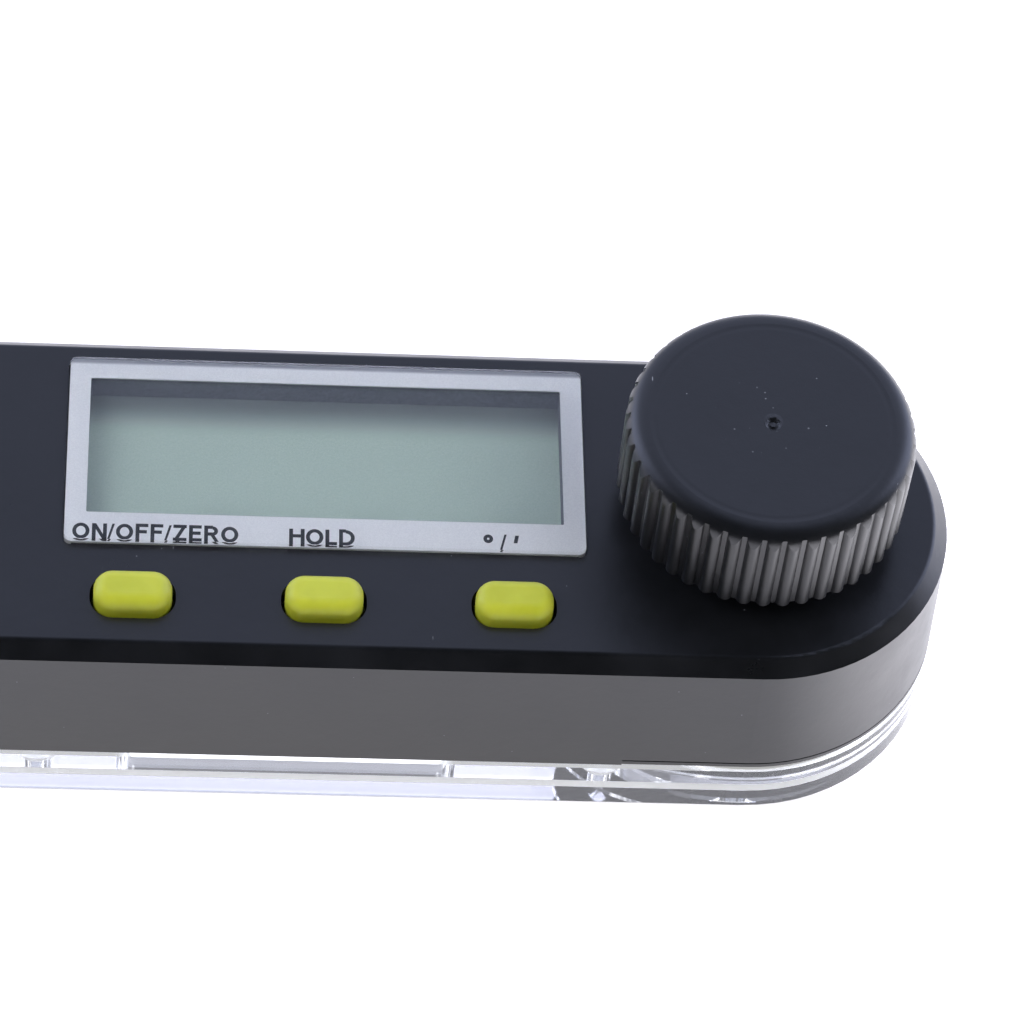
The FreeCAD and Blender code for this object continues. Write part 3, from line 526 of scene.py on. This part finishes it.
def turnedBrass():
    # brass turned on a lathe: fine rings about the axis, warm and slightly dulled
    material, tree, shader = newMaterial("turnedBrass", {"Metallic": 1.0, "Roughness": 0.28})
    place = addNode(tree, "ShaderNodeTexCoord")
    rings = addNode(tree, "ShaderNodeTexWave",
                    settings={"wave_type": "RINGS", "rings_direction": "Z"},
                    inputs={"Scale": waveShare * perMm(brass["ring"]), "Distortion": 0.5},
                    links={"Vector": (place, "Object")})
    tone = addNode(tree, "ShaderNodeValToRGB", links={"Fac": (rings, "Fac")},
                   stops=((0, 1), brass["low"], brass["high"]))
    bump = addNode(tree, "ShaderNodeBump", inputs={
        "Distance": brass["ringDeep"] * mm, "Strength": brass["ringStrength"]},
        links={"Height": (rings, "Fac")})
    connect(tree, shader, {"Base Color": (tone, "Color"), "Normal": (bump, "Normal")})
    return material


zebra = {"carbon": "#1d1d1f", "rubber": "#d9c8c4", "pitch": 0.4, "ramp": (0.45, 0.55)}


def stripedElastomer():
    # zebra connector: carbon and insulating layers across the strip, drawn coarser than the real
    # 0.1 mm
    material, tree, shader = newMaterial("stripedElastomer", {"Roughness": 0.6})
    place = addNode(tree, "ShaderNodeTexCoord")
    bands = addNode(tree, "ShaderNodeTexWave", settings={"bands_direction": "X"},
                    inputs={"Scale": waveShare * perMm(zebra["pitch"])},
                    links={"Vector": (place, "Object")})
    tone = addNode(tree, "ShaderNodeValToRGB", links={"Fac": (bands, "Fac")},
                   stops=(zebra["ramp"], zebra["carbon"], zebra["rubber"]))
    connect(tree, shader, {"Base Color": (tone, "Color")})
    return material


# a plain part is given by its two tones, roughness and grain, plated steel by its two tones,
# roughness and streak
finishes = {
    "acrylic": clearAcrylicSheet(),
    "lens": clearLensPlate(),
    "abs": mouldedBlackAbs("mouldedBlackAbs", False),
    "knobAbs": mouldedBlackAbs("knobBlackAbs", True),
    "silver": screenSilverInk(),
    "ink": printedBlackInk(),
    "polariser": displayPolariser(),
    "rearGlass": plainPart("rearDisplayGlass", "#8c9c98", "#93a39f", 0.2, 0.3),
    "reflector": plainPart("greyReflectorFilm", "#76837f", "#808d88", 0.3, 0.2),
    "foam": plainPart("closedCellFoam", "#3a3c3d", "#4c4e4f", 0.9, 0.35),
    "gasket": plainPart("greyFoamSeal", "#595d66", "#666973", 0.8, 0.3),
    "zebra": stripedElastomer(),
    "lime": limeSiliconeRubber(),
    "nylon": plainPart("blackNylon", "#1c1c1d", "#262627", 0.5, 0.2),
    "stem": plainPart("whiteNylonStem", "#cfcdc6", "#d8d6cf", 0.45, 0.2),
    "board": solderMaskedBoard(),
    "epoxy": plainPart("matteBlackEpoxy", "#161616", "#202020", 0.6, 0.1),
    "ceramic": plainPart("firedCeramicChip", "#8b7a62", "#9c8a70", 0.5, 0.15),
    "nickel": platedSteel("nickelPlatedSteel", "#b3b0a8", "#c4c1b8", 0.22, 1.2),
    "zinc": platedSteel("zincPlatedSteel", "#a9adb3", "#bcc0c6", 0.28, 0.8),
    "brass": turnedBrass(),
    "acetal": plainPart("mouldedGreyAcetal", "#e4e4e6", "#ececee", 0.35, 0.2),
    "ptfe": plainPart("whitePtfeSheet", "#eeeeeb", "#f5f5f2", 0.5, 0.4),
}

dressing = {
    "acrylic": ["lower_arm", "upper_arm"],
    "lens": ["display_lens"],
    "abs": ["top_cover", "bottom_cover", "battery_door", "display_carrier"],
    "knobAbs": ["clamp_knob"],
    "silver": ["lens_border_film"],
    "polariser": ["display_front_glass"],
    "rearGlass": ["display_rear_glass"],
    "reflector": ["display_reflector"],
    "foam": ["display_backing_foam"],
    "zebra": ["display_zebra_strip"],
    "lime": ["zero_button", "hold_button", "unit_button"],
    "nylon": ["switch_bodies", "link_header"],
    "stem": ["zero_switch_plunger", "hold_switch_plunger", "unit_switch_plunger"],
    "board": ["main_board", "encoder_stator", "encoder_rotor"],
    "epoxy": ["controller_chip"],
    "ceramic": ["board_components"],
    "nickel": ["coin_cell", "battery_minus_spring", "battery_plus_clip"],
    "zinc": ["cover_screws", "arm_screws", "hub_screws", "board_screws", "stator_screws",
             "pivot_bolt", "wave_washer", "thrust_washer"],
    "brass": ["pivot_bush", "knob_insert"],
    "acetal": ["pivot_hub"],
    "ptfe": ["glide_ring", "friction_washer"],
}

dressed = set()
for finish, names in dressing.items():
    for name in names:
        for holder in nodes[name].material_slots:
            holder.material = finishes[finish]
        dressed.add(name)
print("nodes dressed:", len(dressed), "left:", sorted(set(nodes) - dressed))


def addPiece(name, mesh, body, finish):
    piece = bpy.data.objects.new(name, mesh)
    mesh.materials.clear()
    mesh.materials.append(finishes[finish])
    scene.collection.objects.link(piece)
    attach(piece, body)


def slab(bm, points, z0, z1):
    # closed prism on a flat outline, millimetres
    low = [bm.verts.new((x * mm, y * mm, z0 * mm)) for x, y in points]
    high = [bm.verts.new((x * mm, y * mm, z1 * mm)) for x, y in points]
    count = len(points)
    bm.faces.new(list(reversed(low)))
    bm.faces.new(high)
    for k in range(count):
        n = (k + 1) % count
        bm.faces.new((low[k], low[n], high[n], high[k]))


def bar(bm, x0, x1, y0, y1, z0, z1):
    slab(bm, [(x0, y0), (x1, y0), (x1, y1), (x0, y1)], z0, z1)


cornerSteps = 8


def roundedOutline(x0, x1, y0, y1, corner):
    points = []
    centres = [(x1 - corner, y1 - corner), (x0 + corner, y1 - corner),
               (x0 + corner, y0 + corner), (x1 - corner, y0 + corner)]
    for quarter, (cx, cy) in enumerate(centres):
        for k in range(cornerSteps + 1):
            a = (quarter + k / cornerSteps) * math.pi / 2
            points.append((cx + corner * math.cos(a), cy + corner * math.sin(a)))
    return points


def insetOutline(low, high, edge, corner):
    # rounded outline that lies this far inside a box
    return roundedOutline(low[0] + edge, high[0] - edge, low[1] + edge, high[1] - edge, corner)


def frameSlab(bm, outer, inner, z0, z1):
    # flat ring between two outlines that have the same number of points
    rows = [[bm.verts.new((x * mm, y * mm, z * mm)) for x, y in line]
            for line, z in ((outer, z0), (inner, z0), (inner, z1), (outer, z1))]
    count = len(outer)
    for k in range(count):
        n = (k + 1) % count
        for r in range(4):
            lower, upper = rows[r], rows[(r + 1) % 4]
            bm.faces.new((lower[k], lower[n], upper[n], upper[k]))


def finishMesh(bm, name):
    bmesh.ops.recalc_face_normals(bm, faces=bm.faces)
    mesh = bpy.data.meshes.new(name)
    bm.to_mesh(mesh)
    bm.free()
    return mesh


# the border is printed between a thin hard top layer and the body of the lens, and runs down its
# sides; depth is measured from the lens's top, and the display glass runs underBorder under it
lensPrint = {"depth": 0.5, "ink": 0.006, "inset": 0.02, "skirt": 0.03, "corner": 0.68,
             "windowCorner": 0.15, "underBorder": 0.9, "windowShift": -0.26, "legendLift": 0.003}


def makeBorderInk():
    lensLow, lensHigh = boxMm("display_lens")
    glassLow, glassHigh = boxMm("display_rear_glass")
    under = lensPrint["underBorder"]
    shift = lensPrint["windowShift"]
    inset = lensPrint["inset"]
    outer = insetOutline(lensLow, lensHigh, inset, lensPrint["corner"])
    inner = roundedOutline(glassLow[0] + under, glassHigh[0] - under, glassLow[1] + under + shift,
                           glassHigh[1] - under + shift, lensPrint["windowCorner"])
    skirt = insetOutline(lensLow, lensHigh, inset + lensPrint["skirt"],
                         lensPrint["corner"] - lensPrint["skirt"])
    z1 = lensHigh[2] - lensPrint["depth"]
    z0 = lensLow[2] + inset
    bm = bmesh.new()
    frameSlab(bm, outer, inner, z1 - lensPrint["ink"], z1)
    frameSlab(bm, outer, skirt, z0, z1 - lensPrint["ink"])
    addPiece("lens_border_ink", finishMesh(bm, "lensBorderInk"), "case", "silver")


# each letter: its width, then its strokes, all in cap heights
letterShapes = {
    "O": (0.93, [("arc", 0.465, 0.5, 0.465, 0.51, 0, 180),
                 ("arc", 0.465, 0.5, 0.465, 0.51, 180, 360)]),
    "N": (0.77, [("up", 0), ("up", 0.60), ("slant", 0.56, 0, 0, 1)]),
    "/": (0.41, [("thin", 0, 0.27, 0, 1)]),
    "F": (0.68, [("up", 0), ("across", 0, 0.68, 0.84), ("across", 0, 0.61, 0.43)]),
    "Z": (0.74, [("across", 0, 0.74, 0), ("across", 0.02, 0.74, 0.84), ("slant", 0, 0.53, 0, 1)]),
    "E": (0.69, [("up", 0), ("across", 0, 0.69, 0), ("across", 0, 0.68, 0.84),
                 ("across", 0, 0.63, 0.43)]),
    "R": (0.79, [("up", 0), ("across", 0, 0.47, 0.84), ("across", 0, 0.47, 0.40),
                 ("arc", 0.46, 0.70, 0.29, 0.30, -90, 90), ("slant", 0.59, 0.33, 0, 0.45)]),
    "H": (0.79, [("up", 0), ("up", 0.62), ("across", 0, 0.79, 0.44)]),
    "L": (0.62, [("up", 0), ("across", 0, 0.62, 0)]),
    "D": (0.84, [("up", 0), ("across", 0, 0.37, 0), ("across", 0, 0.37, 0.84),
                 ("arc", 0.36, 0.5, 0.48, 0.5, -90, 90)]),
    "°": (0.56, [("arc", 0.28, 0.70, 0.28, 0.28, 0, 180),
                 ("arc", 0.28, 0.70, 0.28, 0.28, 180, 360)]),
    "'": (0.36, [("slant", 0, 0.10, 0.46, 0.95)]),
}
# a slanted stroke is a little wider than an upright one, and a slash in a narrow line stands closer
letterLook = {"stroke": 0.208, "thin": 0.13, "slantWiden": 1.05, "arcSteps": 14,
              "narrowGap": 0.2, "slashGap": 0.06}
legends = {
    "legend_on_off_zero": {"text": "ON/OFF/ZERO", "gap": 0.13, "from": -64.62, "to": -49.12},
    "legend_hold": {"text": "HOLD", "gap": 0.11, "from": -44.36, "to": -38.2},
    "legend_degree_minute": {"text": "°/'", "gap": 0.38, "from": -26.1, "to": -22.66},
}
legendLine = {"low": -5.88, "high": -4.1}


def strokeOutline(stroke):
    # the closed outline of one stroke, in cap heights
    kind, wide = stroke[0], letterLook["stroke"]
    if kind == "up":
        x = stroke[1]
        return [(x, 0), (x + wide, 0), (x + wide, 1), (x, 1)]
    if kind == "across":
        x0, x1, y = stroke[1:]
        return [(x0, y), (x1, y), (x1, y + wide), (x0, y + wide)]
    if kind in ("slant", "thin"):
        x0, x1, y0, y1 = stroke[1:]
        wide = letterLook["thin"] if kind == "thin" else wide * letterLook["slantWiden"]
        return [(x0, y0), (x0 + wide, y0), (x1 + wide, y1), (x1, y1)]
    cx, cy, rx, ry, start, end = stroke[1:]
    steps = letterLook["arcSteps"]
    turns = [math.radians(start + (end - start) * k / steps) for k in range(steps + 1)]
    outer = [(cx + rx * math.cos(a), cy + ry * math.sin(a)) for a in turns]
    inner = [(cx + (rx - wide) * math.cos(a), cy + (ry - wide) * math.sin(a))
             for a in reversed(turns)]
    return outer + inner


def layText(text, gap):
    # every stroke outline of a word on one line, and the word's length, in cap heights
    outlines, x = [], 0.0
    for k, letter in enumerate(text):
        width, strokes = letterShapes[letter]
        for stroke in strokes:
            outlines.append([(px + x, py) for px, py in strokeOutline(stroke)])
        bySlash = letter == "/" or text[k + 1:k + 2] == "/"
        tight = gap < letterLook["narrowGap"] and bySlash
        x += width + (letterLook["slashGap"] if tight else gap)
    return outlines, x - gap


def makeLegends():
    lensHigh = boxMm("display_lens")[1]
    z0 = lensHigh[2] - lensPrint["depth"] + lensPrint["legendLift"]
    tall = legendLine["high"] - legendLine["low"]
    for name, row in legends.items():
        outlines, length = layText(row["text"], row["gap"])
        stretch = (row["to"] - row["from"]) / length
        bm = bmesh.new()
        for outline in outlines:
            placed = [(row["from"] + x * stretch, legendLine["low"] + y * tall)
                      for x, y in outline]
            slab(bm, placed, z0, z0 + lensPrint["ink"])
        addPiece(name, finishMesh(bm, name), "case", "ink")


gasket = {"thick": 0.24, "top": 0.16, "bottom": 0.01, "corner": 0.2, "reach": 0.64}


def makeGasket():
    # soft dust seal between the lens and the display glass, lining the window in the case
    glassLow, glassHigh = boxMm("display_rear_glass")
    frontHigh = boxMm("display_front_glass")[1]
    lensLow = boxMm("display_lens")[0]
    outer, inner = [insetOutline(glassLow, glassHigh, edge, gasket["corner"])
                    for edge in (gasket["reach"], gasket["reach"] + gasket["thick"])]
    bm = bmesh.new()
    frameSlab(bm, outer, inner, frontHigh[2] + gasket["bottom"], lensLow[2] - gasket["top"])
    addPiece("display_gasket", finishMesh(bm, "displayGasket"), "case", "gasket")


# roof is how far the case's top lies above the lens's underside, below how far the glue stays
# under it, and gap keeps the glue off the lens
glueBead = {"wide": 0.14, "roof": 0.35, "below": 0.02, "gap": 0.01}


def makeGlueBead():
    # the black glue that fills the joint along the front of the lens, flush with the case
    lensLow, lensHigh = boxMm("display_lens")
    top = lensLow[2] + glueBead["roof"] - glueBead["below"]
    corner = lensPrint["corner"]
    bm = bmesh.new()
    bar(bm, lensLow[0] + corner, lensHigh[0] - corner, lensLow[1] - glueBead["wide"],
        lensLow[1] - glueBead["gap"], lensLow[2], top)
    addPiece("lens_glue_bead", finishMesh(bm, "lensGlueBead"), "case", "abs")


makeBorderInk()
makeLegends()
makeGasket()
makeGlueBead()
print("lens print made")


doorMark = {"long": 7.0, "head": 3.0, "half": 1.9, "shaft": 0.55, "ink": 0.01, "contact": 0.002}


def makeDoorArrow():
    # arrow on the battery door's outside, pointing the way that the door slides off
    low, high = boxMm("battery_door")
    x1 = (low[0] + high[0]) / 2 + doorMark["long"] / 2
    neck, x0 = x1 - doorMark["head"], x1 - doorMark["long"]
    half, shaft = doorMark["half"], doorMark["shaft"]
    bm = bmesh.new()
    slab(bm, [(x0, -shaft), (neck, -shaft), (neck, -half), (x1, 0), (neck, half), (neck, shaft),
              (x0, shaft)], low[2] - doorMark["ink"], low[2] - doorMark["contact"])
    addPiece("battery_door_arrow", finishMesh(bm, "doorArrow"), "door", "silver")


def textMesh(text):
    # letters flat at the origin, in the font's own units
    curve = bpy.data.curves.new("letters", "FONT")
    curve.body = text
    curve.size = 1.0
    curve.resolution_u = 3
    maker = bpy.data.objects.new("lettersMaker", curve)
    scene.collection.objects.link(maker)
    bpy.context.view_layer.update()
    shaped = maker.evaluated_get(bpy.context.evaluated_depsgraph_get())
    mesh = bpy.data.meshes.new_from_object(shaped)
    bpy.data.objects.remove(maker)
    return mesh


def addLetters(bm, text, centre, height, z0, z1):
    # upright letters of a given height, centred on a place: each flat face twice, with walls along
    # the edges that only one face has
    mesh = textMesh(text)
    xs = [v.co.x for v in mesh.vertices]
    ys = [v.co.y for v in mesh.vertices]
    size = height / (max(ys) - min(ys))
    midX = (max(xs) + min(xs)) / 2
    midY = (max(ys) + min(ys)) / 2
    places = [((centre[0] + (v.co.x - midX) * size) * mm, (centre[1] + (v.co.y - midY) * size) * mm)
              for v in mesh.vertices]
    low = [bm.verts.new((x, y, z0 * mm)) for x, y in places]
    high = [bm.verts.new((x, y, z1 * mm)) for x, y in places]
    loops = [list(face.vertices) for face in mesh.polygons]
    sides = [pair for loop in loops for pair in zip(loop, loop[1:] + loop[:1])]
    shared = set(sides)
    for loop in loops:
        bm.faces.new([low[k] for k in reversed(loop)])
        bm.faces.new([high[k] for k in loop])
    for a, b in sides:
        if (b, a) not in shared:
            bm.faces.new((low[a], low[b], high[b], high[a]))
    bpy.data.meshes.remove(mesh)


armScale = {"edge": 18.3, "line": 0.16, "short": 2.0, "middle": 3.2, "long": 4.4,
            "digit": 2.3, "digitGap": 0.9, "ink": 0.006, "contact": 0.004,
            "labelFrom": 92, "labelIn": 7.6}
# side is the edge in Y, first and last number the marks from the pivot, and parts are the marks
# in one unit
rulers = [
    {"side": -1, "first": 92, "last": 195, "unit": 10, "parts": 10, "middle": 5,
     "label": "cm", "labelShift": 0.2, "labelTall": 1.5},
    {"side": 1, "first": 59, "last": 122, "unit": 25.4, "parts": 16, "middle": 4,
     "label": "inch", "labelShift": 1.6, "labelTall": 2.0},
]


def makeScale(name, armNode, body):
    # millimetres along the -Y edge and sixteenths of an inch along the +Y edge, counted from the
    # pivot
    armHigh = boxMm(armNode)[1]
    z1 = armHigh[2] - armScale["contact"]
    z0 = z1 - armScale["ink"]
    half = armScale["line"] / 2
    edge = armScale["edge"]
    bm = bmesh.new()
    for ruler in rulers:
        side, parts = ruler["side"], ruler["parts"]
        for k in range(ruler["first"], ruler["last"] + 1):
            numbered = k % parts == 0
            size = "long" if numbered else "middle" if k % ruler["middle"] == 0 else "short"
            reach = armScale[size]
            x = -k * ruler["unit"] / parts
            y0, y1 = sorted((side * edge, side * (edge - reach)))
            bar(bm, x - half, x + half, y0, y1, z0, z1)
            if numbered:
                y = side * (edge - reach - armScale["digitGap"] - armScale["digit"] / 2)
                addLetters(bm, str(k // parts), (x, y), armScale["digit"], z0, z1)
    for ruler in rulers:
        place = (-armScale["labelFrom"] - ruler["labelShift"],
                 ruler["side"] * (edge - armScale["labelIn"]))
        addLetters(bm, ruler["label"], place, ruler["labelTall"], z0, z1)
    addPiece(name, finishMesh(bm, name), body, "ink")


makeDoorArrow()
makeScale("upper_arm_scale", "upper_arm", "case")
makeScale("lower_arm_scale", "lower_arm", "turning_arm")
print("door mark and scales made")


# half is in metres; from and to are the places in X between which the painted glow rises
floorLook = {"half": 6.0, "below": 0.03, "colour": "#e4e2e6", "paintedGlowTint": "#fbf9ff",
             "leftPaintedGlow": 0.14, "rightPaintedGlow": 1.5, "from": 6.0, "to": 26.0}
# metres and watts
sideLight = {"away": 0.8, "front": 0.25, "height": 1.0, "width": 0.9, "depth": 0.7,
             "left": 18.5, "right": 14.0, "colour": "#ffffff"}
# parts of the direction: back is the part in +Y, high the part in +Z, aside the part in X
skyLook = {"front": "#08090a", "back": "#c9d3f6", "strength": 0.97, "sides": 2.2,
           "backFrom": -0.05, "backTo": 0.4, "highFrom": 0.78, "highTo": 0.97, "highShare": 0.25,
           "asideFrom": 0.4, "asideTo": 0.85}


def makeFloor():
    half = floorLook["half"]
    z = cadBox[0][2] - floorLook["below"] * mm
    corners = ((-half, -half), (half, -half), (half, half), (-half, half))
    bm = bmesh.new()
    bm.faces.new([bm.verts.new((x, y, z)) for x, y in corners])
    mesh = bpy.data.meshes.new("floor")
    bm.to_mesh(mesh)
    bm.free()
    # matt white table with a painted glow, which rises from left to right
    material, tree, shader = newMaterial("whiteTable", {
        "Base Color": toLinear(floorLook["colour"]), "Roughness": 0.8,
        "Emission Color": toLinear(floorLook["paintedGlowTint"])})
    place = addNode(tree, "ShaderNodeTexCoord")
    split = addNode(tree, "ShaderNodeSeparateXYZ", links={"Vector": (place, "Object")})
    # painted light: the floor glows, faintly on the left and strongly on the right
    glow = addNode(tree, "ShaderNodeMapRange", inputs={
        "From Min": floorLook["from"] * mm, "From Max": floorLook["to"] * mm,
        "To Min": floorLook["leftPaintedGlow"], "To Max": floorLook["rightPaintedGlow"]},
        links={"Value": (split, "X")})
    connect(tree, shader, {"Emission Strength": (glow, "Result")})
    mesh.materials.append(material)
    floor = bpy.data.objects.new("floor", mesh)
    scene.collection.objects.link(floor)


def makeSideLights():
    for side, power in ((-1, sideLight["left"]), (1, sideLight["right"])):
        data = bpy.data.lights.new("sideLight", "AREA")
        data.shape = "RECTANGLE"
        data.size = sideLight["width"]
        data.size_y = sideLight["depth"]
        data.energy = power
        data.color = toLinear(sideLight["colour"])[:3]
        lamp = bpy.data.objects.new("sideLight", data)
        lamp.visible_glossy = False      # it leaves no hot spot on satin plastic
        place = Vector((side * sideLight["away"], -sideLight["front"], sideLight["height"]))
        aim = place.to_track_quat("Z", "Y").to_matrix().to_4x4()
        lamp.matrix_world = Matrix.Translation(place) @ aim
        scene.collection.objects.link(lamp)


def makeSky():
    # bright behind the object up to about 50 degrees and more so at its sides, a quarter as bright
    # above about 75 degrees, and dark in front
    world = bpy.data.worlds.new("studio")
    world.use_nodes = True
    scene.world = world
    tree = world.node_tree
    tree.nodes.clear()
    place = addNode(tree, "ShaderNodeTexCoord")
    split = addNode(tree, "ShaderNodeSeparateXYZ", links={"Vector": (place, "Generated")})
    back = addNode(tree, "ShaderNodeMapRange", inputs={
        "From Min": skyLook["backFrom"], "From Max": skyLook["backTo"], "To Min": 0, "To Max": 1},
        links={"Value": (split, "Y")})
    low = addNode(tree, "ShaderNodeMapRange", inputs={
        "From Min": skyLook["highTo"], "From Max": skyLook["highFrom"],
        "To Min": skyLook["highShare"], "To Max": 1}, links={"Value": (split, "Z")})
    amount = addNode(tree, "ShaderNodeMath", settings=multiply,
                     links={0: (back, "Result"), 1: (low, "Result")})
    colour = addNode(tree, "ShaderNodeMix", settings=mixColours,
                     inputs={"A": toLinear(skyLook["front"]), "B": toLinear(skyLook["back"])},
                     links={"Factor": (amount, "Value")})
    aside = addNode(tree, "ShaderNodeMath", settings=absolute, links={0: (split, "X")})
    more = addNode(tree, "ShaderNodeMapRange", settings=smoothStep, inputs={
        "From Min": skyLook["asideFrom"], "From Max": skyLook["asideTo"],
        "To Min": skyLook["strength"], "To Max": skyLook["strength"] * (1 + skyLook["sides"])},
        links={"Value": (aside, "Value")})
    glow = addNode(tree, "ShaderNodeBackground",
                   links={"Color": (colour, "Result"), "Strength": (more, "Result")})
    addNode(tree, "ShaderNodeOutputWorld", links={"Surface": (glow, "Background")})


makeFloor()
makeSideLights()
makeSky()
print("floor and light made")
